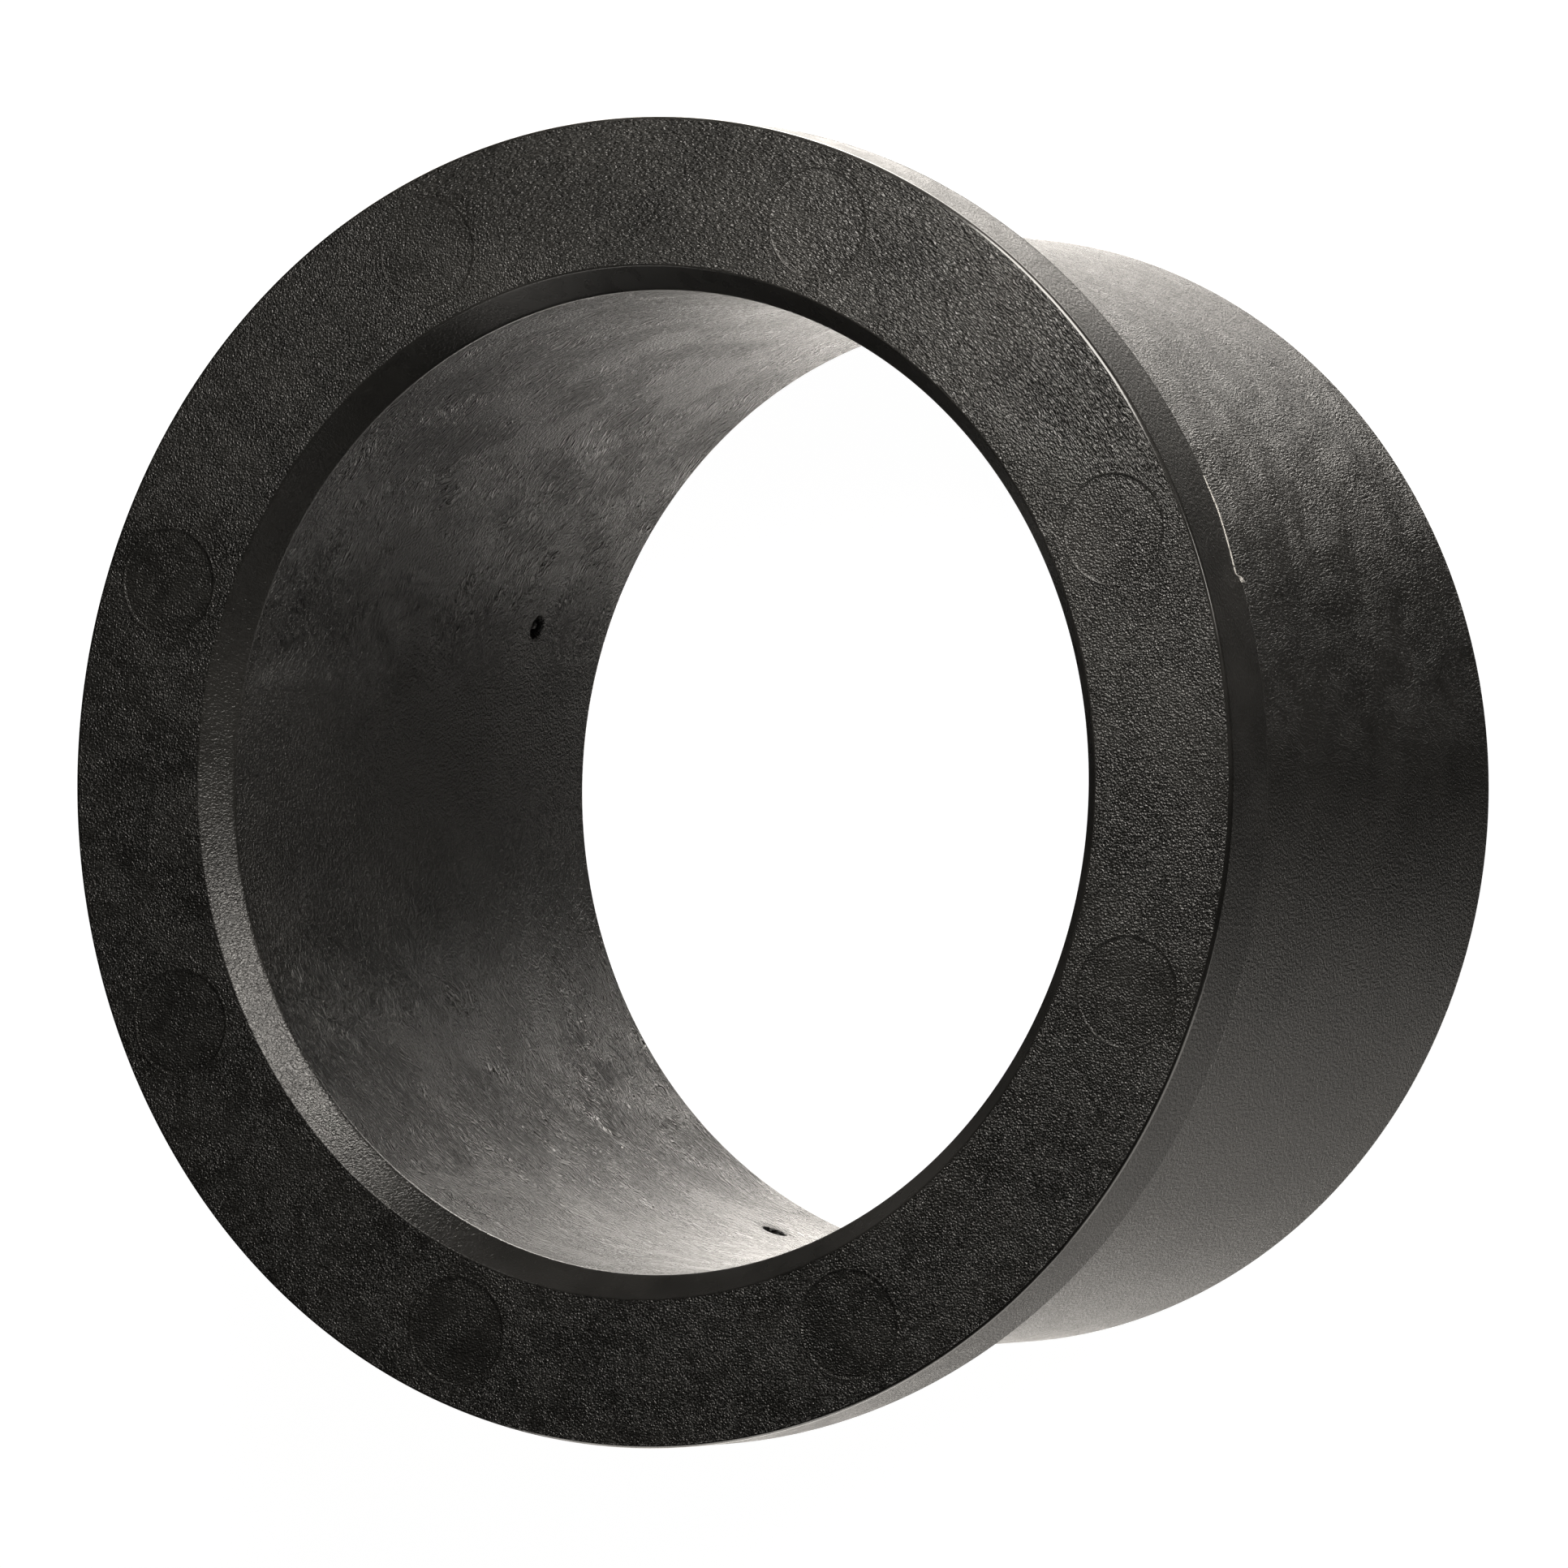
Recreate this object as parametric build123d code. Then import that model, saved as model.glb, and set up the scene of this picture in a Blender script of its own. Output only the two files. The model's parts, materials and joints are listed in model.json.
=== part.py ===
from build123d import *

import os
from math import cos, radians, sin

# Collared outlet flange for a 110 mm soil pipe: one black polyethylene moulding.
#
# Frame: +Z along the bore, out of the open mouth of the collar; origin on the axis
# at the spigot's end face, which is what the part stands on. Millimetres.

# ---- driving dimensions -------------------------------------------------------------
SPIGOT_RADIUS = 55.0          # outside of the tube, a 110 mm soil-pipe spigot
COLLAR_RADIUS = 62.5          # outside of the collar
TOTAL_LENGTH = 71.0           # spigot end to collar face
COLLAR_THICKNESS = 7.5

BORE_RADIUS = 46.3            # cylindrical seat behind the mouth
BORE_SEAT_LENGTH = 30.0
BORE_END_RADIUS = 47.0        # the bore opens by a slight draft towards the spigot end

CHAMFER_OUTER_RADIUS = 48.5   # lead-in round the mouth, measured on the collar face
CHAMFER_DEPTH = 2.8
CHAMFER_FOOT = 0.15           # radial step left for the round between lead-in and bore

COLLAR_EDGE_ROUND = 0.5       # front outer edge of the collar
ROOT_ROUND = 1.0              # where the tube meets the back of the collar
SPIGOT_EDGE_ROUND = 0.6       # outer edge of the spigot's end
BORE_EDGE_ROUND = 0.3         # inner edge of the spigot's end

# ejector-pin marks: shallow round recesses on the collar face
MARK_COUNT = 8
MARK_RADIUS = 5.1
MARK_CIRCLE_RADIUS = 55.4
MARK_DEPTH = 0.06
FIRST_MARK_ANGLE = 24.7       # degrees from +X

# gate marks: small pits in the bore wall near the spigot end, one below every other mark
PIT_COUNT = 4
PIT_RADIUS = 1.25
PIT_DEPTH = 1.1
PIT_HEIGHT = 14.6             # above the spigot end
FIRST_PIT_ANGLE = FIRST_MARK_ANGLE + 45.0
NUB_BASE_RADIUS = 0.45        # torn stub of plastic left standing in each pit
NUB_TIP_RADIUS = 0.2
NUB_HEIGHT = 0.7

# ---- derived levels -----------------------------------------------------------------
COLLAR_BACK = TOTAL_LENGTH - COLLAR_THICKNESS
LEAD_IN_BOTTOM = TOTAL_LENGTH - CHAMFER_DEPTH
SEAT_TOP = LEAD_IN_BOTTOM - CHAMFER_FOOT
SEAT_BOTTOM = SEAT_TOP - BORE_SEAT_LENGTH


def wall_section():
    """Half section of the ring wall in the XZ plane, walked round from the spigot end."""
    quarter = 1.0 - cos(radians(45.0))
    with BuildSketch(Plane.XZ) as section:
        with BuildLine():
            spigot_round = (
                (SPIGOT_RADIUS - SPIGOT_EDGE_ROUND, 0.0),
                (SPIGOT_RADIUS - SPIGOT_EDGE_ROUND * quarter, SPIGOT_EDGE_ROUND * quarter),
                (SPIGOT_RADIUS, SPIGOT_EDGE_ROUND),
            )
            root_round = (
                (SPIGOT_RADIUS, COLLAR_BACK - ROOT_ROUND),
                (SPIGOT_RADIUS + ROOT_ROUND * quarter, COLLAR_BACK - ROOT_ROUND * quarter),
                (SPIGOT_RADIUS + ROOT_ROUND, COLLAR_BACK),
            )
            collar_round = (
                (COLLAR_RADIUS, TOTAL_LENGTH - COLLAR_EDGE_ROUND),
                (COLLAR_RADIUS - COLLAR_EDGE_ROUND * quarter, TOTAL_LENGTH - COLLAR_EDGE_ROUND * quarter),
                (COLLAR_RADIUS - COLLAR_EDGE_ROUND, TOTAL_LENGTH),
            )
            bore_round = (
                (BORE_END_RADIUS, BORE_EDGE_ROUND),
                (BORE_END_RADIUS + BORE_EDGE_ROUND * quarter, BORE_EDGE_ROUND * quarter),
                (BORE_END_RADIUS + BORE_EDGE_ROUND, 0.0),
            )
            ThreePointArc(*spigot_round)
            Line(spigot_round[2], root_round[0])
            ThreePointArc(*root_round)
            Polyline(root_round[2], (COLLAR_RADIUS, COLLAR_BACK), collar_round[0])
            ThreePointArc(*collar_round)
            Polyline(
                collar_round[2],
                (CHAMFER_OUTER_RADIUS, TOTAL_LENGTH),
                (BORE_RADIUS + CHAMFER_FOOT, LEAD_IN_BOTTOM),
                (BORE_RADIUS, SEAT_TOP),
                (BORE_RADIUS, SEAT_BOTTOM),
                bore_round[0],
            )
            ThreePointArc(*bore_round)
            Line(bore_round[2], spigot_round[0])
        make_face()
    return section.sketch


def ring_wall():
    """The tube and its collar, turned about the bore axis."""
    return revolve(wall_section(), axis=Axis.Z)


def spaced_angles(first, count):
    """Equally spaced angles round the axis, in degrees."""
    return [first + 360.0 * index / count for index in range(count)]


def ejector_mark(angle):
    """The shallow disc that one ejector pin leaves in the collar face."""
    centre = (
        MARK_CIRCLE_RADIUS * cos(radians(angle)),
        MARK_CIRCLE_RADIUS * sin(radians(angle)),
        TOTAL_LENGTH - MARK_DEPTH,
    )
    disc = Cylinder(MARK_RADIUS, 2.0 * MARK_DEPTH, align=(Align.CENTER, Align.CENTER, Align.MIN))
    return Pos(*centre) * disc


def bore_radius_at(height):
    """Bore radius at a height on the drafted stretch below the seat."""
    share = (SEAT_BOTTOM - height) / (SEAT_BOTTOM - BORE_EDGE_ROUND)
    return BORE_RADIUS + share * (BORE_END_RADIUS - BORE_RADIUS)


def gate_pit(angle):
    """One gate mark: a round pit cut into the bore wall, with a torn nub left in it."""
    wall = bore_radius_at(PIT_HEIGHT)
    floor_radius = wall + PIT_DEPTH
    inward = Plane(
        origin=(floor_radius, 0.0, PIT_HEIGHT),
        x_dir=(0.0, 1.0, 0.0),
        z_dir=(-1.0, 0.0, 0.0),
    )
    upward = (Align.CENTER, Align.CENTER, Align.MIN)
    pit = inward * Cylinder(PIT_RADIUS, 2.0 * PIT_DEPTH, align=upward)
    nub = inward * Cone(NUB_BASE_RADIUS, NUB_TIP_RADIUS, NUB_HEIGHT, align=upward)
    return Rot(0.0, 0.0, angle) * (pit - nub)


def flange_body():
    """The whole moulding as one closed solid."""
    body = ring_wall()
    for angle in spaced_angles(FIRST_MARK_ANGLE, MARK_COUNT):
        body -= ejector_mark(angle)
    for angle in spaced_angles(FIRST_PIT_ANGLE, PIT_COUNT):
        body -= gate_pit(angle)
    return body


os.makedirs("parts", exist_ok=True)
export_step(flange_body(), "parts/flange_body.step")
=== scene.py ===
import json
from math import cos, degrees, exp, radians, sin, tau

import bmesh
import bpy
from mathutils import Matrix, Vector, noise
from mathutils.geometry import delaunay_2d_cdt


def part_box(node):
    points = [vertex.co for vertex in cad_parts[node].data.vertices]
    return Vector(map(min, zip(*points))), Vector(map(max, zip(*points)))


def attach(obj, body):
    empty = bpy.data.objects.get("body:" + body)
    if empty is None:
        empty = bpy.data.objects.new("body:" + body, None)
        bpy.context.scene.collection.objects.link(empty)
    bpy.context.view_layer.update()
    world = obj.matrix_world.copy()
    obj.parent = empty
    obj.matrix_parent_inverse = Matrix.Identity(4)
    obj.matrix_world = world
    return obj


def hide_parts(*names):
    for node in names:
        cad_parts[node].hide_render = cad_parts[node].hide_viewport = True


# The looks of a collared outlet flange: one black polyethylene moulding, rebuilt as one
# closed mesh with its moulding marks, and finished with a material for each kind of
# mould surface. Lengths are in millimetres in the tables and metres in the scene.

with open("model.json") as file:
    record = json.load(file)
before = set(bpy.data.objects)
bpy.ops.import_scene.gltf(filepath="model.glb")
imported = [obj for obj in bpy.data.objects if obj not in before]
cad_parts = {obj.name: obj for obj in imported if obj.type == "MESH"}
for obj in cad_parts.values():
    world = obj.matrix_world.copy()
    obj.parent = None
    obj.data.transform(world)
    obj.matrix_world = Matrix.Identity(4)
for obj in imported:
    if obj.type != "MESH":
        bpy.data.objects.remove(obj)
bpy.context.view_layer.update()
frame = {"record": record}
MM = 0.001

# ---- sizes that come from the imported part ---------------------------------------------
NODE = "flange_body"
MOUNTS = {mount["name"]: mount for mount in frame["record"]["mounts"]}
NODE_LOW, NODE_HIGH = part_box(NODE)
COLLAR_RADIUS = round((NODE_HIGH.x - NODE_LOW.x) / 2.0 / MM, 2)
FACE_LEVEL = round(NODE_HIGH.z / MM, 2)
BACK_LEVEL = MOUNTS["collar_back"]["pos_m"][2] / MM
SPIGOT_RADIUS = MOUNTS["spigot"]["dims"]["r_mm"]
BORE_RADIUS = MOUNTS["bore"]["dims"]["r_mm"]
SEAT_LENGTH = MOUNTS["bore"]["dims"]["length_mm"]

# ---- sizes repeated from the part's source, in millimetres ----------------------------
BORE_END_RADIUS = 47.0
CHAMFER_OUTER_RADIUS = 48.5
CHAMFER_FOOT_RADIUS = BORE_RADIUS + 0.15
CHAMFER_DEPTH = 2.8
COLLAR_EDGE_ROUND = 0.5
ROOT_ROUND = 1.0
SPIGOT_EDGE_ROUND = 0.6
BORE_EDGE_ROUND = 0.3
MARK_COUNT = 8
MARK_RADIUS = 5.1
MARK_CIRCLE_RADIUS = 55.4
MARK_DEPTH = 0.06
FIRST_MARK_ANGLE = 24.7
PIT_COUNT = 4
PIT_HEIGHT = 14.6
FIRST_PIT_ANGLE = FIRST_MARK_ANGLE + 45.0
SEAT_TOP = FACE_LEVEL - CHAMFER_DEPTH - 0.15
SEAT_BOTTOM = SEAT_TOP - SEAT_LENGTH


# ======================================================================================
# Shape
# ======================================================================================

def smooth_step(low, high, value):
    """0 below low, 1 above high, and a smooth ramp between."""
    share = min(1.0, max(0.0, (value - low) / (high - low)))
    return share * share * (3.0 - 2.0 * share)


def wobble(angle, pitch, seed):
    """Smooth noise from -1 to 1 round the axis, with features about pitch mm long."""
    reach = COLLAR_RADIUS / pitch
    return noise.noise(Vector((reach * cos(radians(angle)), reach * sin(radians(angle)), seed)))


# -- parting-line flash on the back edge of the collar's rim ------------------------------
TRIM_START = 26.8     # degrees: here the knife that trimmed the flash ran into the edge
TRIM_END = 17.5       # and here it came out, leaving a torn stub
CUT_START = 23.5      # between, the knife dug into the rim itself
CUT_DEPTH = 0.80      # mm, up the rim, where it dug deepest
FLASH_HEIGHT = 0.22   # mm of thin flash left standing below the trimmed stretch
STUB_HEIGHT = 0.60
LIP_PROUD = 0.012     # mm: how far the burr stands out of the rim all round
BEAD_PROUD = 0.028    # how much further its beads stand out
STUB_PROUD = 0.16
LIP_WIDTH = 0.05      # mm, up the rim


def turn_of(angle):
    """The angle brought between -180 and 180 degrees."""
    return (angle + 180.0) % 360.0 - 180.0


def is_trimmed(angle):
    """Whether the knife went along the collar's back corner at an angle."""
    return TRIM_END - 0.5 < turn_of(angle) < TRIM_START


def flash_height(angle):
    """How far the flash stands behind the collar's back face at an angle, in mm."""
    turn = turn_of(angle)
    ragged = 0.03 * wobble(angle, 1.2, 3.0) + 0.02 * wobble(angle, 0.5, 9.0)
    left_on = 1.0 - smooth_step(TRIM_END - 0.15, TRIM_END + 0.15, turn)
    left_on *= 1.0 - 0.6 * smooth_step(12.0, 60.0, abs(turn))
    stub = STUB_HEIGHT * exp(-((turn - TRIM_END + 0.3) / 0.3) ** 2)
    return max(0.02, FLASH_HEIGHT * left_on + stub + ragged)


def knife_cut(angle):
    """How far up the rim the knife dug at an angle, in mm."""
    turn = turn_of(angle)
    if not TRIM_END < turn < CUT_START:
        return 0.0
    share = (CUT_START - turn) / (CUT_START - TRIM_END)
    return CUT_DEPTH * share * smooth_step(TRIM_END, TRIM_END + 0.35, turn)


def lip(angle):
    """The burr on the rim's back edge: how far it stands out and how wide it is, in mm."""
    turn = turn_of(angle)
    bead = 0.5 + 0.5 * wobble(angle, 0.35, 5.0)
    left = smooth_step(-40.0, -5.0, turn) * (1.0 - smooth_step(60.0, 100.0, turn))
    trimmed = smooth_step(TRIM_END - 0.3, TRIM_END, turn)
    trimmed *= 1.0 - smooth_step(TRIM_START - 1.5, TRIM_START, turn)
    stub = exp(-((turn - TRIM_END + 0.15) / 0.28) ** 2)
    proud = LIP_PROUD + BEAD_PROUD * bead * left
    proud += BEAD_PROUD * trimmed * (0.6 + 0.8 * bead) + STUB_PROUD * stub
    return proud, LIP_WIDTH + 0.04 * trimmed + 0.10 * stub


# -- section of the wall: each ring is a function of the angle, giving (radius, height) ----

def fixed(radius, height):
    """A ring that is a true circle."""
    return lambda angle: (radius, height)


def arc(centre, radius, start, end, steps):
    """Rings along a round: start and end are section angles in degrees, 0 along +radius."""
    rings = []
    for index in range(steps + 1):
        turn = radians(start + (end - start) * index / steps)
        rings.append(fixed(centre[0] + radius * cos(turn), centre[1] + radius * sin(turn)))
    return rings


def corner(start, control, end, share):
    """Point on a soft corner, a quadratic curve from start to end."""
    rest = 1.0 - share
    return start * rest * rest + control * 2.0 * share * rest + end * share * share


def run(start, end, steps):
    """Evenly spaced rings strictly between two (radius, height) points."""
    rings = []
    for index in range(1, steps):
        share = index / steps
        rings.append(fixed(*(a + (b - a) * share for a, b in zip(start, end))))
    return rings


def bore_radius(height):
    """Bore radius at a height: a straight seat, then a slight draft to the spigot end."""
    if height >= SEAT_BOTTOM:
        return BORE_RADIUS
    share = (SEAT_BOTTOM - height) / (SEAT_BOTTOM - BORE_EDGE_ROUND)
    return BORE_RADIUS + share * (BORE_END_RADIUS - BORE_RADIUS)


WINDOW = 3.6          # mm: half height of the patch of bore wall round each gate pit
BORE_ROWS_ABOVE = 22
BORE_ROWS_BELOW = 6
HOLD = 0.15           # mm: a ring this far from a round keeps its shading off the flat beside it
PATCH_MARGIN = 0.55   # mm from the collar face's edges to the patch that holds the ejector marks
FACE_PATCH_OUTER = COLLAR_RADIUS - COLLAR_EDGE_ROUND - PATCH_MARGIN
FACE_PATCH_INNER = CHAMFER_OUTER_RADIUS + PATCH_MARGIN
LEAD_IN_BROW = 0.14   # mm: how far the lead-in's upper soft edge reaches each way
LEAD_IN_FOOT = 0.16   # and its lower one
BORE_TOP = FACE_LEVEL - CHAMFER_DEPTH - 0.55


def lead_in_rings():
    """From the collar face, over the lead-in chamfer's two soft edges, to the bore wall."""
    top = Vector((CHAMFER_OUTER_RADIUS, FACE_LEVEL))
    bottom = Vector((CHAMFER_FOOT_RADIUS, FACE_LEVEL - CHAMFER_DEPTH))
    along = (bottom - top).normalized()
    brow = (CHAMFER_OUTER_RADIUS + LEAD_IN_BROW, FACE_LEVEL)
    upper = top + along * LEAD_IN_BROW
    lower = bottom - along * LEAD_IN_FOOT
    rings = [fixed(FACE_PATCH_INNER, FACE_LEVEL), fixed(brow[0] + HOLD, FACE_LEVEL), fixed(*brow)]
    rings += [fixed(*corner(Vector(brow), top, upper, share)) for share in (0.2, 0.4, 0.6, 0.8)]
    for point in (upper, upper + along * HOLD, (upper + lower) / 2.0, lower - along * HOLD, lower):
        rings.append(fixed(*point))
    joint = Vector((BORE_RADIUS, FACE_LEVEL - CHAMFER_DEPTH - 0.2))
    wall = Vector((BORE_RADIUS, joint.y - LEAD_IN_FOOT))
    rings += [fixed(*corner(lower, joint, wall, share)) for share in (0.17, 0.33, 0.5, 0.67, 0.83)]
    return rings + [fixed(*wall), fixed(BORE_RADIUS, wall.y - HOLD)]


def bore_rings():
    """Down the bore, with rows that frame the gate pits exactly."""
    levels = []
    upper, lower = PIT_HEIGHT + WINDOW, PIT_HEIGHT - WINDOW
    for index in range(1, BORE_ROWS_ABOVE):
        levels.append(BORE_TOP + (upper - BORE_TOP) * index / BORE_ROWS_ABOVE)
    levels.append(upper)
    for index in range(1, 4):
        levels.append(upper + (lower - upper) * index / 4)
    levels.append(lower)
    foot = BORE_EDGE_ROUND + HOLD
    for index in range(1, BORE_ROWS_BELOW + 1):
        levels.append(lower + (foot - lower) * index / BORE_ROWS_BELOW)
    return [fixed(bore_radius(level), level) for level in levels]


def end_rings():
    """The bore's inner edge round, the spigot's flat end and its outer edge round."""
    inner_radius = BORE_END_RADIUS + BORE_EDGE_ROUND
    outer_radius = SPIGOT_RADIUS - SPIGOT_EDGE_ROUND
    inner = arc((inner_radius, BORE_EDGE_ROUND), BORE_EDGE_ROUND, 180.0, 270.0, 4)
    flat = [fixed(inner_radius + 0.12, 0.0)]
    flat += run((inner_radius, 0.0), (outer_radius, 0.0), 4)
    flat += [fixed(outer_radius - 0.12, 0.0)]
    outer = arc((outer_radius, SPIGOT_EDGE_ROUND), SPIGOT_EDGE_ROUND, 270.0, 360.0, 5)
    return inner + flat + outer


def tube_rings():
    """Up the outside of the spigot and out over its root round to the collar's back."""
    start = (SPIGOT_RADIUS, SPIGOT_EDGE_ROUND + 0.2)
    end = (SPIGOT_RADIUS, BACK_LEVEL - ROOT_ROUND - 0.2)
    rings = [fixed(*start)] + run(start, end, 30) + [fixed(*end)]
    root = arc((SPIGOT_RADIUS + ROOT_ROUND, BACK_LEVEL - ROOT_ROUND), ROOT_ROUND, 180.0, 90.0, 5)
    back = [fixed(SPIGOT_RADIUS + ROOT_ROUND + 0.2, BACK_LEVEL)]
    back += run((SPIGOT_RADIUS + ROOT_ROUND, BACK_LEVEL), (COLLAR_RADIUS - 0.9, BACK_LEVEL), 4)
    return rings + root + back


CORNER_TOP = 1.3      # mm above the collar's back: the rim is plain from here up


def flash_rings():
    """Round the collar's back corner: the flash or the knife's facet, then the burr on the rim."""
    def foot(angle):
        return COLLAR_RADIUS - 0.9, BACK_LEVEL

    def inner(angle):
        return COLLAR_RADIUS - 0.26 - 0.5 * knife_cut(angle), BACK_LEVEL

    def crest_inner(angle):
        return COLLAR_RADIUS - 0.12 - 0.5 * knife_cut(angle), BACK_LEVEL - flash_height(angle)

    def crest_outer(angle):
        return COLLAR_RADIUS - 0.04 - 0.45 * knife_cut(angle), BACK_LEVEL - flash_height(angle)

    def lip_low(angle):
        return COLLAR_RADIUS + lip(angle)[0], BACK_LEVEL + knife_cut(angle)

    def lip_high(angle):
        proud, width = lip(angle)
        return COLLAR_RADIUS + proud, BACK_LEVEL + knife_cut(angle) + width

    def lip_foot(angle):
        return COLLAR_RADIUS, BACK_LEVEL + knife_cut(angle) + lip(angle)[1] + 0.05

    def plain(angle):
        return COLLAR_RADIUS, BACK_LEVEL + knife_cut(angle) + lip(angle)[1] + 0.12

    return [foot, inner, crest_inner, crest_outer, lip_low, lip_high, lip_foot, plain]


EDGE_CENTRE = (COLLAR_RADIUS - COLLAR_EDGE_ROUND, FACE_LEVEL - COLLAR_EDGE_ROUND)
GRAIN_START = 66.0    # degrees up the front edge round, where the face's grain begins


def rim_rings():
    """Up the rim, to its front edge round."""
    start = (COLLAR_RADIUS, BACK_LEVEL + CORNER_TOP)
    end = (COLLAR_RADIUS, FACE_LEVEL - COLLAR_EDGE_ROUND - 0.12)
    rings = [fixed(*start)] + run(start, end, 7)
    return rings + [fixed(*end), fixed(COLLAR_RADIUS, FACE_LEVEL - COLLAR_EDGE_ROUND)]


def edge_rings():
    """Over the polished part of the front edge round."""
    return arc(EDGE_CENTRE, COLLAR_EDGE_ROUND, 0.0, GRAIN_START, 7)[1:]


def brink_rings():
    """The grained rest of the front edge round, to the collar face."""
    rings = arc(EDGE_CENTRE, COLLAR_EDGE_ROUND, GRAIN_START, 90.0, 3)[1:]
    rings.append(fixed(COLLAR_RADIUS - COLLAR_EDGE_ROUND - 0.12, FACE_LEVEL))
    rings.append(fixed(FACE_PATCH_OUTER, FACE_LEVEL))
    return rings


COLUMN_STEP = 0.75                 # degrees between columns of the mesh
FINE_STEP = 0.15                   # and where the knife cut and the torn stub are
FINE_START, FINE_END = 15.6, 28.05


def column_angles():
    """Angles of the mesh's columns in degrees, closer together along the knife cut and stub."""
    angles = []
    angle = 0.0
    while angle < 360.0 - 1e-6:
        angles.append(angle)
        angle += FINE_STEP if FINE_START <= angle < FINE_END else COLUMN_STEP
    return angles


class Moulding:
    """Collects the vertices and faces of the closed mesh."""

    def __init__(self):
        self.points, self.faces, self.zones = [], [], []
        self.angles = column_angles()

    def add_ring(self, ring):
        """One vertex per column; returns the index of the first."""
        first = len(self.points)
        for angle in self.angles:
            radius, height = ring(angle)
            self.points.append(Vector((radius * cos(radians(angle)), radius * sin(radians(angle)), height)))
        return first

    def add_face(self, corners, zone):
        """One face, given by its vertex indices, with the zone that sets its material."""
        self.faces.append(corners)
        self.zones.append(zone)

    def join_rings(self, first, second, zone, skip=()):
        """Quads between two rings, leaving out the columns in skip."""
        count = len(self.angles)
        for column in range(count):
            if column not in skip:
                after = (column + 1) % count
                named = zone
                if zone == "corner":
                    named = "cut" if is_trimmed(self.angles[column]) else "rim"
                self.add_face((first + column, first + after, second + after, second + column), named)

    def fill(self, outline, loops, inner_points, place, zone):
        """Triangulates a patch. outline holds (2-D point, vertex index); loops are closed runs, each a
        range of outline points or a list of new 2-D points; place gives a 2-D point its place, and
        zone names its zone or None for a hole."""
        flat = [Vector(point) for point, _ in outline]
        known = [index for _, index in outline]
        edges = []
        for loop in loops:
            if isinstance(loop, range):
                numbers = list(loop)
            else:
                numbers = list(range(len(flat), len(flat) + len(loop)))
                flat += [Vector(point) for point in loop]
                known += [None] * len(loop)
            edges += list(zip(numbers, numbers[1:] + numbers[:1]))
        flat += [Vector(point) for point in inner_points]
        known += [None] * len(inner_points)
        made = delaunay_2d_cdt(flat, edges, [], 0, 1e-6)
        where = []
        for position, sources in zip(made[0], made[3]):
            index = next((known[source] for source in sources if known[source] is not None), None)
            if index is None:
                index = len(self.points)
                self.points.append(place(position))
            where.append(index)
        for face in made[2]:
            centre = sum((made[0][corner_index] for corner_index in face), Vector((0.0, 0.0))) / len(face)
            named = zone(centre)
            if named is not None:
                self.add_face(tuple(where[corner_index] for corner_index in face), named)


def circle(centre, radius, count, start=0.0):
    """Evenly spaced 2-D points round a circle, from a start angle in radians."""
    turns = [start + tau * index / count for index in range(count)]
    return [(centre[0] + radius * cos(turn), centre[1] + radius * sin(turn)) for turn in turns]


# -- ejector marks on the collar face -------------------------------------------------------
# (distance from the mark's rim outwards, height) across the thin witness line and the step
WITNESS_HEIGHT = 0.04
MARK_PROFILE = (
    (0.34, 0.0), (0.20, 0.0), (0.10, WITNESS_HEIGHT), (0.0, WITNESS_HEIGHT),
    (-0.10, -MARK_DEPTH), (-0.24, -MARK_DEPTH),
)
WITNESS_WIDTH = MARK_PROFILE[2][0]
MARK_SEGMENTS = 120


def mark_centres():
    """The middles of the eight marks on the collar face."""
    turns = [radians(FIRST_MARK_ANGLE + 360.0 * index / MARK_COUNT) for index in range(MARK_COUNT)]
    return [Vector((MARK_CIRCLE_RADIUS * cos(turn), MARK_CIRCLE_RADIUS * sin(turn))) for turn in turns]


def mark_height(offset):
    """Height over the collar face at a distance outside (+) or inside (-) a mark's rim."""
    if offset >= MARK_PROFILE[0][0]:
        return 0.0
    for (outer, high), (inner, low) in zip(MARK_PROFILE, MARK_PROFILE[1:]):
        if offset >= inner:
            return low + (high - low) * (offset - inner) / (outer - inner)
    return -MARK_DEPTH


def face_patch(moulding, outer_ring, inner_ring):
    """The collar face with its eight ejector marks as real steps in the surface, between two rings
    that are given by their first vertices. Loose points between the marks keep the triangles even."""
    centres = mark_centres()

    def place(position):
        offset = min((position - centre).length for centre in centres) - MARK_RADIUS
        return Vector((position.x, position.y, FACE_LEVEL + mark_height(offset)))

    count = len(moulding.angles)
    outline = []
    for first in (outer_ring, inner_ring):
        outline += [(moulding.points[first + column].xy, first + column) for column in range(count)]
    loops = [range(0, count), range(count, 2 * count)]
    scatter = []
    for centre in centres:
        loops += [circle(centre, MARK_RADIUS + offset, MARK_SEGMENTS) for offset, _ in MARK_PROFILE]
        scatter.append(tuple(centre))
        for radius, number in ((1.3, 8), (2.6, 16), (3.9, 30)):
            scatter += circle(centre, radius, number)
    for radius in (50.6, 52.9, 55.4, 57.9, 60.2):
        number = int(tau * radius / 2.4)
        for point in circle((0.0, 0.0), radius, number, start=radius):
            if min((Vector(point) - centre).length for centre in centres) > MARK_RADIUS + 1.3:
                scatter.append(point)

    def zone(position):
        if position.length < FACE_PATCH_INNER:
            return None
        offset = min((position - centre).length for centre in centres) - MARK_RADIUS
        if offset < 0.0:
            return "mark"
        return "edge" if offset < WITNESS_WIDTH else "face"

    moulding.fill(outline, loops, scatter, place, zone)


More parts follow.
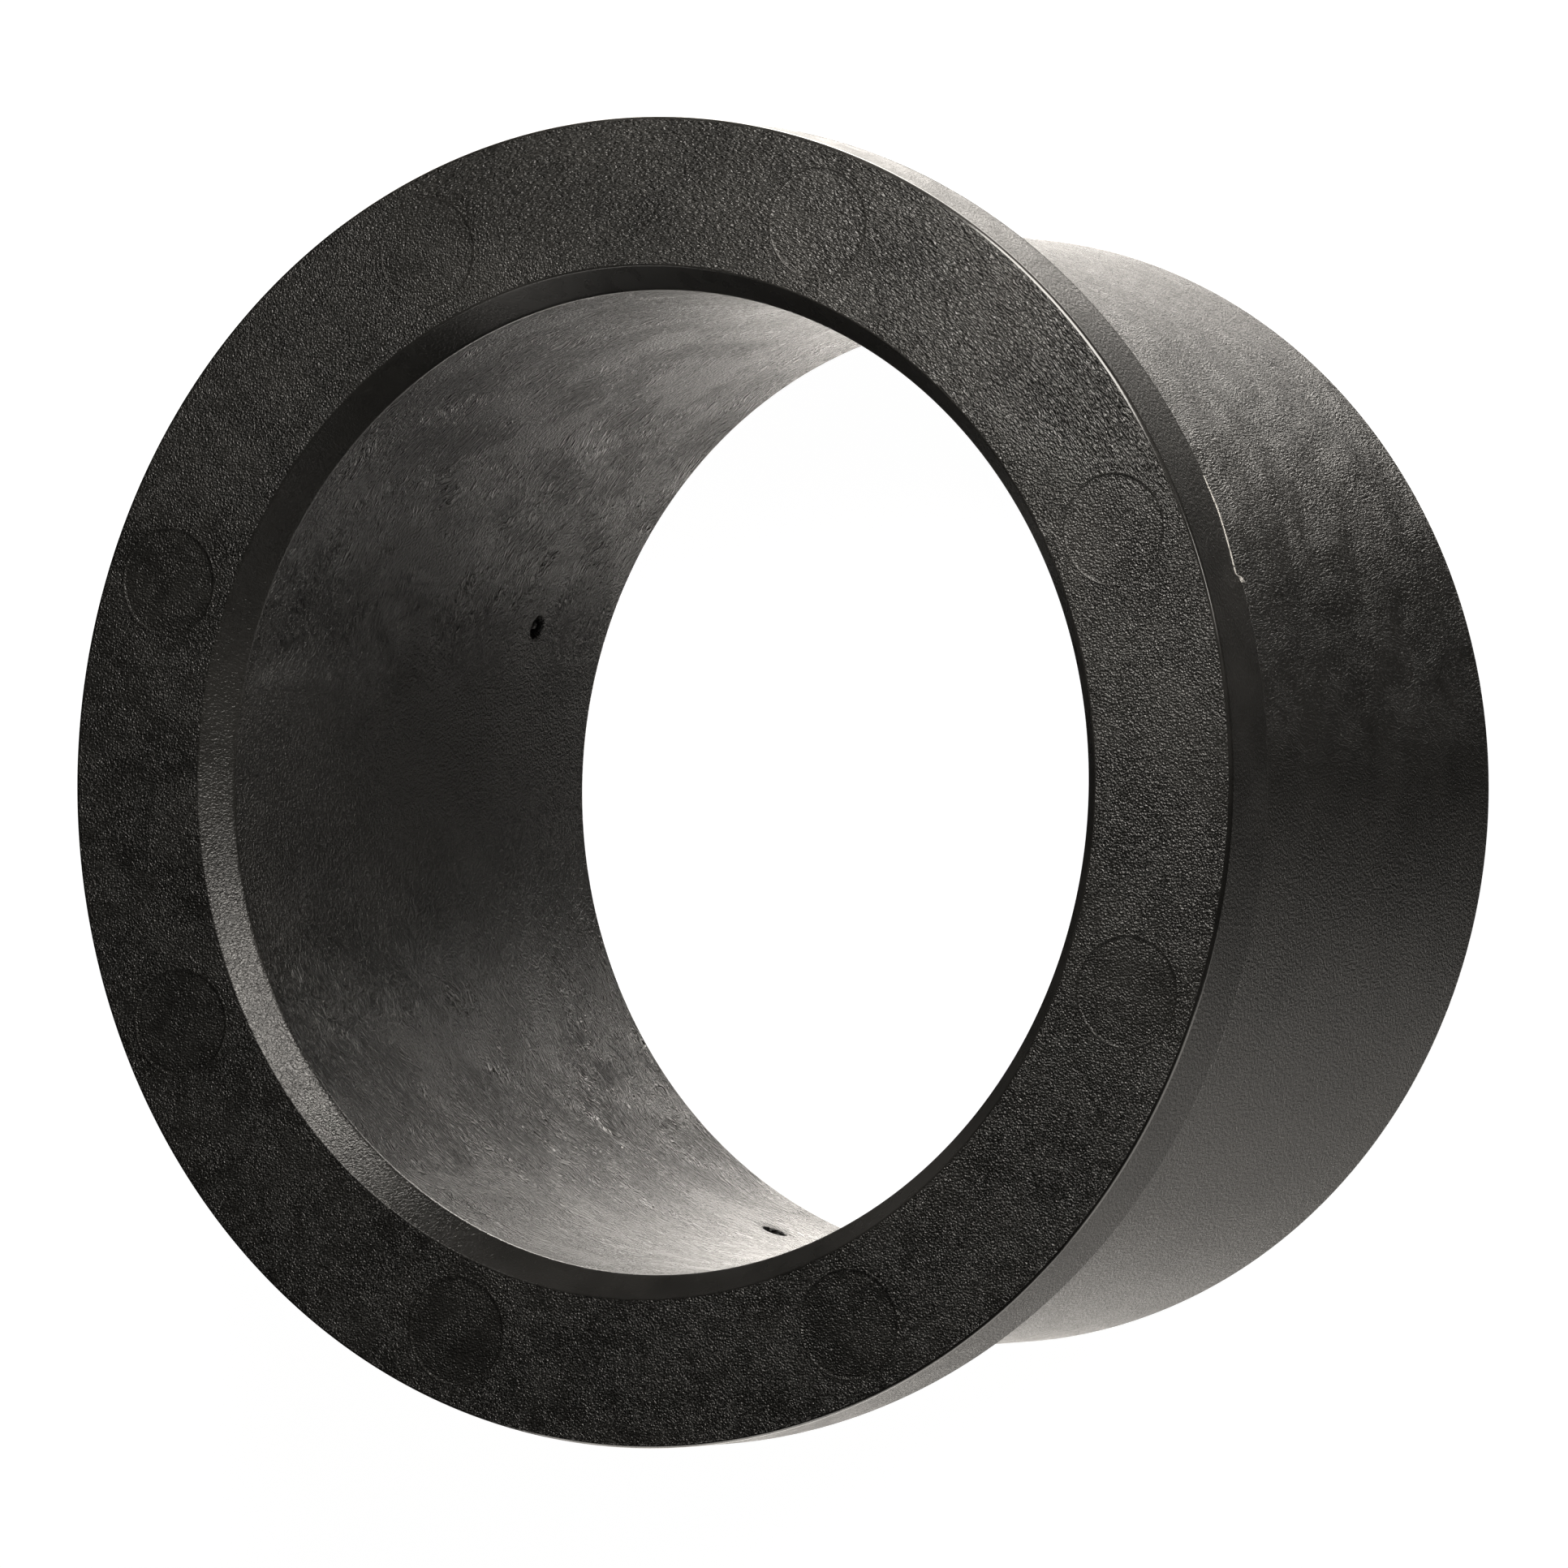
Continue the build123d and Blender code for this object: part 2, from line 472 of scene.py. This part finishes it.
# -- gate pits in the bore ---------------------------------------------------------------------
# (distance from the pit's axis, depth into the wall): the lip's dish, the pit and its torn nub
PIT_PROFILE = (
    (3.0, 0.0), (2.4, 0.012), (1.9, 0.045), (1.55, 0.075), (1.32, 0.10), (1.2, 0.20), (1.12, 0.45),
    (1.05, 0.95), (0.92, 1.10), (0.62, 1.10), (0.48, 0.95), (0.40, 0.62), (0.30, 0.42), (0.16, 0.38),
)
PIT_SEGMENTS = 40


def pit_depth(distance):
    """Depth into the bore wall at a distance from a pit's axis."""
    if distance >= PIT_PROFILE[0][0]:
        return 0.0
    for (outer, shallow), (inner, deep) in zip(PIT_PROFILE, PIT_PROFILE[1:]):
        if distance >= inner:
            return deep + (shallow - deep) * (distance - inner) / (outer - inner)
    return PIT_PROFILE[-1][1]


def pit_columns(moulding, angle):
    """Columns whose quads make room for a pit's patch: first and last column index."""
    reach = degrees(WINDOW / BORE_RADIUS)
    inside = [column for column, turn in enumerate(moulding.angles) if abs(turn_of(turn - angle)) <= reach]
    return inside[0], inside[-1]


def pit_patch(moulding, angle, rings, first_column, last_column):
    """A patch of bore wall with one gate pit, its dished lip and the nub torn off inside it."""
    border = [(rings[0], column) for column in range(first_column, last_column)]
    border += [(ring, last_column) for ring in rings[:-1]]
    border += [(rings[-1], column) for column in range(last_column, first_column, -1)]
    border += [(ring, first_column) for ring in reversed(rings[1:])]
    outline = []
    for ring, column in border:
        height = moulding.points[ring + column].z
        across = radians(moulding.angles[column] - angle) * BORE_RADIUS
        outline.append(((across, height - PIT_HEIGHT), ring + column))

    def place(position):
        height = position.y + PIT_HEIGHT
        turn = radians(angle) + position.x / BORE_RADIUS
        radius = bore_radius(height) + pit_depth(position.length)
        return Vector((radius * cos(turn), radius * sin(turn), height))

    loops = [range(0, len(outline))]
    loops += [circle((0.0, 0.0), radius, PIT_SEGMENTS) for radius, _ in PIT_PROFILE]
    moulding.fill(outline, loops, [(0.0, 0.0)], place, lambda position: "bore")


def build_moulding():
    """The closed mesh, walked round the wall's section: lead-in, bore, end, tube, back, rim, face."""
    moulding = Moulding()
    lead_in = lead_in_rings()
    stretches = [
        ("face", lead_in[:3]), ("lead_in", lead_in[3:]), ("bore", bore_rings()), ("wall", end_rings()),
        ("wall", tube_rings()), ("corner", flash_rings()), ("rim", rim_rings()), ("edge", edge_rings()),
        ("face", brink_rings()),
    ]
    firsts, zones, levels = [], [], []
    for zone, rings in stretches:
        for ring in rings:
            firsts.append(moulding.add_ring(ring))
            zones.append(zone)
            levels.append(ring(0.0))
    pit_angles = [FIRST_PIT_ANGLE + 360.0 * index / PIT_COUNT for index in range(PIT_COUNT)]
    windows = [pit_columns(moulding, angle) for angle in pit_angles]
    skipped = {column for start, end in windows for column in range(start, end)}
    pit_rings = [
        first for first, zone, (radius, height) in zip(firsts, zones, levels)
        if zone == "bore" and abs(height - PIT_HEIGHT) <= WINDOW + 1e-6
    ]
    for first, second, zone in zip(firsts, firsts[1:], zones[1:]):
        inside = first in pit_rings and second in pit_rings
        moulding.join_rings(first, second, zone, skipped if inside else ())
    for angle, (start, end) in zip(pit_angles, windows):
        pit_patch(moulding, angle, pit_rings, start, end)
    face_patch(moulding, firsts[-1], firsts[0])
    return moulding


# ======================================================================================
# Materials
# ======================================================================================

class Graph:
    """The node tree of one material; each method adds a node and returns its output."""

    def __init__(self, name):
        self.material = bpy.data.materials.new(name)
        self.material.use_nodes = True
        self.tree = self.material.node_tree
        self.tree.nodes.clear()

    def add(self, kind, inputs, output=0, **settings):
        """A node of any kind. Each input is a number, a colour, or another node's output."""
        node = self.tree.nodes.new("ShaderNode" + kind)
        for key, value in settings.items():
            setattr(node, key, value)
        for key, value in inputs.items():
            if isinstance(value, bpy.types.NodeSocket):
                self.tree.links.new(value, node.inputs[key])
            else:
                node.inputs[key].default_value = value
        return node.outputs[output]

    def millimetres(self):
        """Position on the part in millimetres."""
        place = self.add("TexCoord", {}, output="Object")
        return self.add("VectorMath", {0: place, "Scale": 1000.0}, operation="SCALE")

    def mapped(self, vector, rotation=(0.0, 0.0, 0.0), scale=(1.0, 1.0, 1.0)):
        """Coordinates turned, in degrees, and then stretched."""
        turned = self.add("Mapping", {"Vector": vector, "Rotation": tuple(radians(a) for a in rotation)})
        return self.add("VectorMath", {0: turned, 1: scale}, operation="MULTIPLY")

    def round_the_axis(self, place, around, outwards):
        """Coordinates that follow circles round the axis: features per mm around and outwards."""
        flat = self.add("VectorMath", {0: place, 1: (1.0, 1.0, 0.0)}, operation="MULTIPLY")
        unit = self.add("VectorMath", {0: flat}, operation="NORMALIZE")
        reach = MARK_CIRCLE_RADIUS * around
        circle_place = self.add("VectorMath", {0: unit, "Scale": reach}, operation="SCALE")
        radius = self.add("VectorMath", {0: flat}, output="Value", operation="LENGTH")
        across = self.add("CombineXYZ", {"Z": self.math("MULTIPLY", radius, outwards)})
        return self.add("VectorMath", {0: circle_place, 1: across}, operation="ADD")

    def swirled(self, place, scale, reach):
        """Coordinates pushed about by a broad noise, so that a stretched grain curls."""
        push = self.add("TexNoise", {"Vector": place, "Scale": scale, "Detail": 1.0}, output="Color")
        centred = self.add("VectorMath", {0: push, 1: (0.5, 0.5, 0.5)}, operation="SUBTRACT")
        offset = self.add("VectorMath", {0: centred, "Scale": reach}, operation="SCALE")
        return self.add("VectorMath", {0: place, 1: offset}, operation="ADD")

    def side_ramp(self, place, angle, low, high, start=0.0, end=1.0):
        """A smooth ramp across the part, between two distances from the axis towards an angle round it."""
        towards = (cos(radians(angle)), sin(radians(angle)), 0.0)
        along = self.add("VectorMath", {0: place, 1: towards}, output="Value", operation="DOT_PRODUCT")
        return self.ramp(along, low, high, start, end)

    def noise(self, vector, scale, detail=2.0, roughness=0.5, distortion=0.0):
        inputs = {"Vector": vector, "Scale": scale, "Detail": detail, "Roughness": roughness}
        inputs["Distortion"] = distortion
        return self.add("TexNoise", inputs, output="Fac")

    def math(self, operation, first, second=0.0):
        return self.add("Math", {0: first, 1: second}, operation=operation)

    def ramp(self, value, low, high, start=0.0, end=1.0):
        """From start to end as the value goes from low to high, with soft ends."""
        inputs = {"Value": value, "From Min": low, "From Max": high, "To Min": start, "To Max": end}
        return self.add("MapRange", inputs, interpolation_type="SMOOTHSTEP")

    def hairs(self, grain, width):
        """Thin dark lines where a noise crosses its middle: 0 on a line and 1 away from it."""
        away = self.math("ABSOLUTE", self.math("SUBTRACT", grain, 0.5))
        return self.ramp(away, 0.0, width)

    def mix(self, share, first, second):
        inputs = {"Factor": share, 2: first, 3: second}
        return self.add("Mix", inputs, data_type="FLOAT")

    def tint(self, share, first, second):
        inputs = {"Factor": share, 6: first, 7: second}
        return self.add("Mix", inputs, output=2, data_type="RGBA")

    def bump(self, height, distance, normal=None):
        """A bumped normal, over another where one is given. A height of 1 stands distance mm high."""
        inputs = {"Height": height, "Distance": distance * MM, "Strength": 1.0}
        if normal is not None:
            inputs["Normal"] = normal
        return self.add("Bump", inputs, output="Normal")

    def finish(self, colour, roughness, normal):
        """The plastic's shader and the material's output."""
        shader = self.tree.nodes.new("ShaderNodeBsdfPrincipled")
        shader.inputs["IOR"].default_value = PLASTIC_IOR
        shader.inputs["Specular IOR Level"].default_value = 0.5
        self.tree.links.new(colour, shader.inputs["Base Color"])
        self.tree.links.new(roughness, shader.inputs["Roughness"])
        self.tree.links.new(normal, shader.inputs["Normal"])
        output = self.tree.nodes.new("ShaderNodeOutputMaterial")
        self.tree.links.new(shader.outputs["BSDF"], output.inputs["Surface"])
        return self.material


PLASTIC_IOR = 1.5
PLASTIC_DARK = (0.0110, 0.0108, 0.0102, 1.0)
PLASTIC_PALE = (0.0200, 0.0195, 0.0184, 1.0)
# pale tint: a random bloom on the face, and painted sheen on the wall's +Y and -Y sides
PALE_BLOOM_AND_SHEEN = (0.055, 0.054, 0.051, 1.0)
DUST = (0.20, 0.20, 0.19, 1.0)
WHITENED = (0.42, 0.41, 0.39, 1.0)


def plastic_colour(graph, place, bloom_and_sheen=0.0):
    """Near-black polyethylene: a slight cloudiness, a pale tint where asked (a random bloom on the face,
    partly painted sheen on the wall), a few specks of dust.
    """
    cloud = graph.noise(place, 0.07, detail=4.0, roughness=0.6)
    body = graph.tint(graph.ramp(cloud, 0.35, 0.65), PLASTIC_DARK, PLASTIC_PALE)
    body = graph.tint(bloom_and_sheen, body, PALE_BLOOM_AND_SHEEN)
    cells = graph.add("TexVoronoi", {"Vector": place, "Scale": 0.13}, output="Distance")
    speck = graph.ramp(cells, 0.010, 0.016, 1.0, 0.0)
    return graph.tint(speck, body, DUST)


def face_material(name, relief, smooth, rough):
    """Collar face: leathery ripples towards +Y, fading into a fine speckled grain. relief scales the
    grain's height, and the roughness goes from smooth to rough in hazy patches."""
    graph = Graph(name)
    place = graph.millimetres()
    ripple = graph.noise(graph.round_the_axis(place, 2.3, 5.4), 1.0, detail=0.5, distortion=0.8)
    speckle = graph.noise(place, 5.2, detail=0.5, distortion=0.4)
    cloud = graph.noise(place, 0.09, detail=4.0, roughness=0.65)
    upper = graph.side_ramp(place, 60.0, -20.0, 30.0)
    wavy = graph.side_ramp(place, 70.0, 37.0, 48.0)
    leather = graph.math("MULTIPLY", upper, graph.ramp(cloud, 0.46, 0.60, 0.0, 0.5))
    leather = graph.math("MAXIMUM", leather, wavy)
    grain = graph.math("SUBTRACT", graph.mix(leather, speckle, ripple), 0.5)
    worn = graph.noise(place, 0.35, detail=4.0, roughness=0.7)
    patchy = graph.mix(wavy, graph.ramp(worn, 0.40, 0.56, 0.65, 1.1), 1.0)
    depth = graph.math("MULTIPLY", patchy, relief)
    depth = graph.math("MULTIPLY", depth, graph.side_ramp(place, 80.0, 5.0, 50.0, 1.5, 2.8))
    normal = graph.bump(graph.math("MULTIPLY", grain, depth), 0.20)
    haze = graph.ramp(graph.noise(place, 0.20, detail=6.0, roughness=0.72), 0.44, 0.60)
    roughness = graph.ramp(haze, 0.0, 1.0, smooth, rough)
    return graph.finish(plastic_colour(graph, place, graph.math("MULTIPLY", haze, 0.15)), roughness, normal)


def wall_material():
    """Tube, end and collar back: satin and cloudy, with curly fibres and patchy pale bloom towards +Y and
    -Y, ripples below them and a fine grain on the rest. Keeping the pale patches to the +Y and -Y sides is
    painted sheen where the bright lights reflect."""
    graph = Graph("black_plastic_wall")
    place = graph.millimetres()
    curled = graph.swirled(place, 0.15, 3.0)
    lengthened = graph.mapped(curled, scale=(1.0, 1.0, 0.8))
    fibres = graph.noise(lengthened, 3.3, detail=1.5, roughness=0.55, distortion=1.4)
    ripples = graph.noise(graph.mapped(curled, scale=(1.0, 1.0, 0.4)), 4.6, detail=1.0, distortion=0.8)
    fine = graph.noise(place, 3.4, roughness=0.6)
    high = graph.side_ramp(place, 90.0, 20.0, 52.0)
    upper = graph.side_ramp(place, 90.0, -5.0, 10.0)
    patch = graph.ramp(graph.noise(place, 0.10, detail=5.0, roughness=0.65), 0.36, 0.52, 0.85, 1.0)
    shallow = graph.math("MULTIPLY", graph.math("SUBTRACT", fine, 0.5), 0.9)
    deep = graph.math("SUBTRACT", graph.mix(high, ripples, fibres), 0.5)
    deep = graph.math("MULTIPLY", deep, graph.mix(high, 1.0, 4.0))
    normal = graph.bump(graph.mix(graph.math("MULTIPLY", patch, upper), shallow, deep), 0.19)
    veil = graph.noise(place, 0.9, detail=5.0, roughness=0.75, distortion=0.5)
    cloud = graph.ramp(graph.noise(place, 0.06, detail=4.0, roughness=0.65), 0.35, 0.62, 0.0, 0.03)
    roughness = graph.math("ADD", graph.ramp(veil, 0.42, 0.58, 0.34, 0.41), cloud)
    # painted sheen: patchy pale bloom in the colour, kept to the +Y and -Y sides where the bright lights
    # reflect
    bloom_and_sheen = graph.ramp(graph.noise(place, 1.3, detail=4.0, roughness=0.7), 0.44, 0.60, 0.10, 0.5)
    plus_y = graph.side_ramp(place, 90.0, 10.0, 40.0)
    minus_y = graph.side_ramp(place, 270.0, 15.0, 45.0, 0.0, 0.8)
    bloom_and_sheen = graph.math("MULTIPLY", bloom_and_sheen, graph.math("MAXIMUM", plus_y, minus_y))
    return graph.finish(plastic_colour(graph, place, bloom_and_sheen), roughness, normal)


def rim_material():
    """The collar's rim: an even satin with a fine grain."""
    graph = Graph("black_plastic_rim")
    place = graph.millimetres()
    fine = graph.noise(place, 3.4, roughness=0.6)
    normal = graph.bump(fine, 0.14)
    veil = graph.noise(place, 0.3, detail=5.0, roughness=0.7)
    roughness = graph.ramp(veil, 0.40, 0.60, 0.42, 0.50)
    return graph.finish(plastic_colour(graph, place), roughness, normal)


def edge_material():
    """The collar's front edge and the ejector marks' witness lines, smooth and glossy."""
    graph = Graph("black_plastic_edge")
    place = graph.millimetres()
    fine = graph.noise(place, 1.6, detail=3.0, roughness=0.6)
    roughness = graph.ramp(fine, 0.3, 0.7, 0.14, 0.20)
    return graph.finish(plastic_colour(graph, place), roughness, graph.bump(fine, 0.01))


def cut_material():
    """Where the knife and the torn stub whitened the plastic."""
    graph = Graph("black_plastic_cut")
    place = graph.millimetres()
    torn = graph.noise(place, 2.6, detail=3.0, roughness=0.6)
    colour = graph.tint(graph.ramp(torn, 0.52, 0.72), WHITENED, PLASTIC_PALE)
    roughness = graph.ramp(torn, 0.3, 0.7, 0.4, 0.6)
    return graph.finish(colour, roughness, graph.bump(torn, 0.05))


def lead_in_material():
    """The lead-in chamfer: smooth, with a fine grain towards -X."""
    graph = Graph("black_plastic_lead_in")
    place = graph.millimetres()
    fine = graph.noise(graph.mapped(place, scale=(1.0, 1.0, 0.6)), 4.4, detail=1.5, distortion=0.8)
    depth = graph.side_ramp(place, 190.0, 0.0, 45.0, 0.1, 1.0)
    normal = graph.bump(graph.math("MULTIPLY", graph.math("SUBTRACT", fine, 0.5), depth), 0.075)
    veil = graph.noise(place, 0.2, detail=3.0, roughness=0.6)
    roughness = graph.ramp(veil, 0.35, 0.65, 0.25, 0.30)
    return graph.finish(plastic_colour(graph, place), roughness, normal)


def bore_material():
    """Bore wall: satin with curling, hair-like flow marks and broad soft bands round it."""
    graph = Graph("black_plastic_bore")
    place = graph.millimetres()
    curled = graph.swirled(place, 0.12, 6.0)
    strands = graph.noise(graph.mapped(curled, scale=(0.8, 0.8, 2.2)), 1.0, detail=1.5, distortion=1.2)
    fine = graph.noise(place, 3.4, roughness=0.6)
    plus_y = graph.side_ramp(place, 90.0, 5.0, 25.0)
    minus_y = graph.side_ramp(place, 270.0, 5.0, 28.0)
    combed = graph.ramp(graph.noise(place, 0.09, detail=4.0, roughness=0.65), 0.38, 0.50)
    combed = graph.math("MULTIPLY", combed, graph.math("MAXIMUM", plus_y, minus_y))
    slanted = graph.mapped(place, (14.0, 9.0, 0.0), (0.03, 0.03, 0.10))
    bands = graph.noise(slanted, 1.0, detail=1.0, distortion=1.0)
    shallow = graph.math("MULTIPLY", graph.math("SUBTRACT", fine, 0.5), 0.3)
    hairy = graph.math("MULTIPLY", graph.hairs(strands, 0.07), 0.3)
    deep = graph.math("ADD", hairy, graph.math("MULTIPLY", strands, 0.8))
    deep = graph.math("SUBTRACT", deep, 0.64)
    normal = graph.bump(graph.mix(combed, shallow, deep), 1.5, normal=graph.bump(bands, 0.25))
    veil = graph.noise(place, 0.18, detail=6.0, roughness=0.68, distortion=0.4)
    roughness = graph.ramp(veil, 0.36, 0.64, 0.30, 0.34)
    roughness = graph.math("ADD", roughness, graph.ramp(bands, 0.52, 0.62, 0.0, 0.02))
    return graph.finish(plastic_colour(graph, place), roughness, normal)


ZONE_MATERIALS = {
    "face": lambda: face_material("black_plastic_face", 1.0, 0.31, 0.37),
    "mark": lambda: face_material("black_plastic_mark", 0.66, 0.33, 0.37),
    "lead_in": lead_in_material,
    "bore": bore_material,
    "wall": wall_material,
    "rim": rim_material,
    "edge": edge_material,
    "cut": cut_material,
}


def make_flange():
    """The one visible piece, riding on the root body in place of the CAD node."""
    moulding = build_moulding()
    mesh = bpy.data.meshes.new("flange_moulding")
    mesh.from_pydata([point * MM for point in moulding.points], [], moulding.faces)
    order = list(ZONE_MATERIALS)
    for zone in order:
        mesh.materials.append(ZONE_MATERIALS[zone]())
    mesh.polygons.foreach_set("material_index", [order.index(zone) for zone in moulding.zones])
    mesh.polygons.foreach_set("use_smooth", [True] * len(mesh.polygons))
    shaped = bmesh.new()
    shaped.from_mesh(mesh)
    bmesh.ops.recalc_face_normals(shaped, faces=shaped.faces)
    shaped.to_mesh(mesh)
    shaped.free()
    piece = bpy.data.objects.new("flange_moulding", mesh)
    bpy.context.scene.collection.objects.link(piece)
    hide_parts(NODE)
    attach(piece, "root")


# ======================================================================================
# Stage: floor, light and camera
# ======================================================================================

FACE_CENTRE = Vector((0.0, 0.0, NODE_HIGH.z))
CAMERA_DISTANCE = 0.9939                                           # metres from the face's centre
CAMERA_POLAR, CAMERA_AZIMUTH, CAMERA_ROLL = 29.94, -1.184, 0.326   # degrees
CAMERA_AIM = Vector((12.18, -0.12, -6.77)) * MM                    # from the face's centre
CAMERA_LENS = 243.2
CAMERA_OUTWARD = Vector((
    sin(radians(CAMERA_POLAR)) * cos(radians(CAMERA_AZIMUTH)),
    sin(radians(CAMERA_POLAR)) * sin(radians(CAMERA_AZIMUTH)),
    cos(radians(CAMERA_POLAR)),
))
CAMERA_PLACE = FACE_CENTRE + CAMERA_OUTWARD * CAMERA_DISTANCE


def camera_axes():
    """The camera's right, up and backward directions."""
    look = (FACE_CENTRE + CAMERA_AIM - CAMERA_PLACE).normalized()
    right = look.cross(Vector((0.0, 1.0, 0.0))).normalized()
    turned = Matrix.Rotation(radians(CAMERA_ROLL), 3, -look)
    return turned @ right, turned @ right.cross(look), -look


WHITE = (1.0, 1.0, 1.0, 1.0)
FLOOR_GREY = (0.25, 0.25, 0.25, 1.0)
FLOOR_GLOW = 0.99
FLOOR_REACH = 6.0     # metres each way
SKY_STRENGTH = 1.2


def make_floor():
    """A plain pale floor that glows near white, and that only the camera sees."""
    graph = Graph("pale_floor")
    glow = graph.add("Emission", {"Color": WHITE, "Strength": FLOOR_GLOW})
    matte = graph.add("BsdfDiffuse", {"Color": FLOOR_GREY})
    both = graph.add("AddShader", {0: glow, 1: matte})
    output = graph.tree.nodes.new("ShaderNodeOutputMaterial")
    graph.tree.links.new(both, output.inputs["Surface"])
    mesh = bpy.data.meshes.new("floor")
    signs = ((-1, -1), (1, -1), (1, 1), (-1, 1))
    corners = [(x * FLOOR_REACH, y * FLOOR_REACH, NODE_LOW.z) for x, y in signs]
    mesh.from_pydata(corners, [], [(0, 1, 2, 3)])
    mesh.materials.append(graph.material)
    floor = bpy.data.objects.new("floor", mesh)
    floor.visible_glossy = False
    floor.visible_diffuse = False
    floor.visible_shadow = False
    bpy.context.scene.collection.objects.link(floor)


WARM_WHITE = (1.0, 0.95, 0.885)
BODY_CENTRE = Vector((0.0, 0.0, (NODE_LOW.z + NODE_HIGH.z) / 2.0))


def stage_direction(away, clock):
    """A direction from the part: degrees away from the backdrop's middle, which is straight behind
    it as the camera looks, and the way there, in degrees anticlockwise from the camera's right."""
    right, upright, backward = camera_axes()
    around = right * cos(radians(clock)) + upright * sin(radians(clock))
    return around * sin(radians(away)) - backward * cos(radians(away))


def soft_light(name, away, clock, distance, side, watts):
    """A square soft light in a direction from the middle of the part, facing it."""
    data = bpy.data.lights.new(name, "AREA")
    data.shape = "SQUARE"
    data.size = side
    data.energy = watts
    data.color = WARM_WHITE
    light = bpy.data.objects.new(name, data)
    outward = stage_direction(away, clock)
    light.location = BODY_CENTRE + outward * distance
    light.rotation_mode = "QUATERNION"
    light.rotation_quaternion = outward.to_track_quat("Z", "Y")
    light.visible_camera = False
    bpy.context.scene.collection.objects.link(light)


SOFT_LIGHTS = (
    # name, degrees away from the backdrop, clock, distance m, side m, watts
    ("backdrop_right", 12, 0, 1.2, 0.5, 5.0),
    ("backdrop_low", 12, 270, 1.2, 0.5, 0.9),
    ("back_top", 28, 90, 1.2, 0.7, 5.0),
    ("back_low_right", 28, 315, 1.2, 0.7, 0.4),
    ("back_top_edge", 40, 90, 1.2, 0.5, 3.6),
    ("back_low_edge", 40, 270, 1.2, 0.5, 2.5),
    ("overhead", 52, 72, 1.2, 0.7, 5.8),
    ("table_glow", 52, 288, 1.2, 0.7, 1.3),
    ("underside_right", 76, 324, 1.2, 0.7, 2.6),
    ("underside", 76, 288, 1.2, 0.7, 4.2),
    ("underside_left", 76, 252, 1.2, 0.7, 6.0),
    ("right_low", 100, 315, 1.2, 0.7, 4.2),
    ("key_right", 127, 34, 1.2, 0.24, 2.2),
    ("front_top_left", 140, 118, 0.20, 0.08, 0.19),
    ("front_top", 134, 80, 0.15, 0.06, 0.23),
)


def make_world():
    """White to the camera and black to everything else, so that the soft lights alone light the part."""
    world = bpy.data.worlds.new("studio")
    bpy.context.scene.world = world
    world.use_nodes = True
    tree = world.node_tree
    tree.nodes.clear()
    seen = tree.nodes.new("ShaderNodeBackground")
    seen.inputs["Color"].default_value = WHITE
    seen.inputs["Strength"].default_value = SKY_STRENGTH
    room = tree.nodes.new("ShaderNodeBackground")
    room.inputs["Color"].default_value = WHITE
    room.inputs["Strength"].default_value = 0.0
    path = tree.nodes.new("ShaderNodeLightPath")
    pick = tree.nodes.new("ShaderNodeMixShader")
    output = tree.nodes.new("ShaderNodeOutputWorld")
    tree.links.new(path.outputs["Is Camera Ray"], pick.inputs[0])
    tree.links.new(room.outputs[0], pick.inputs[1])
    tree.links.new(seen.outputs[0], pick.inputs[2])
    tree.links.new(pick.outputs[0], output.inputs["Surface"])


def make_camera():
    """The camera, looking into the bore from the +X side."""
    data = bpy.data.cameras.new("camera")
    data.sensor_width = 36.0
    data.lens = CAMERA_LENS
    data.clip_start, data.clip_end = 0.01, 50.0
    camera = bpy.data.objects.new("camera", data)
    basis = Matrix(camera_axes()).transposed().to_4x4()
    camera.matrix_world = Matrix.Translation(CAMERA_PLACE) @ basis
    bpy.context.scene.collection.objects.link(camera)
    bpy.context.scene.camera = camera


make_flange()
make_floor()
make_world()
for description in SOFT_LIGHTS:
    soft_light(*description)
make_camera()
bpy.context.scene.view_settings.view_transform = "Standard"
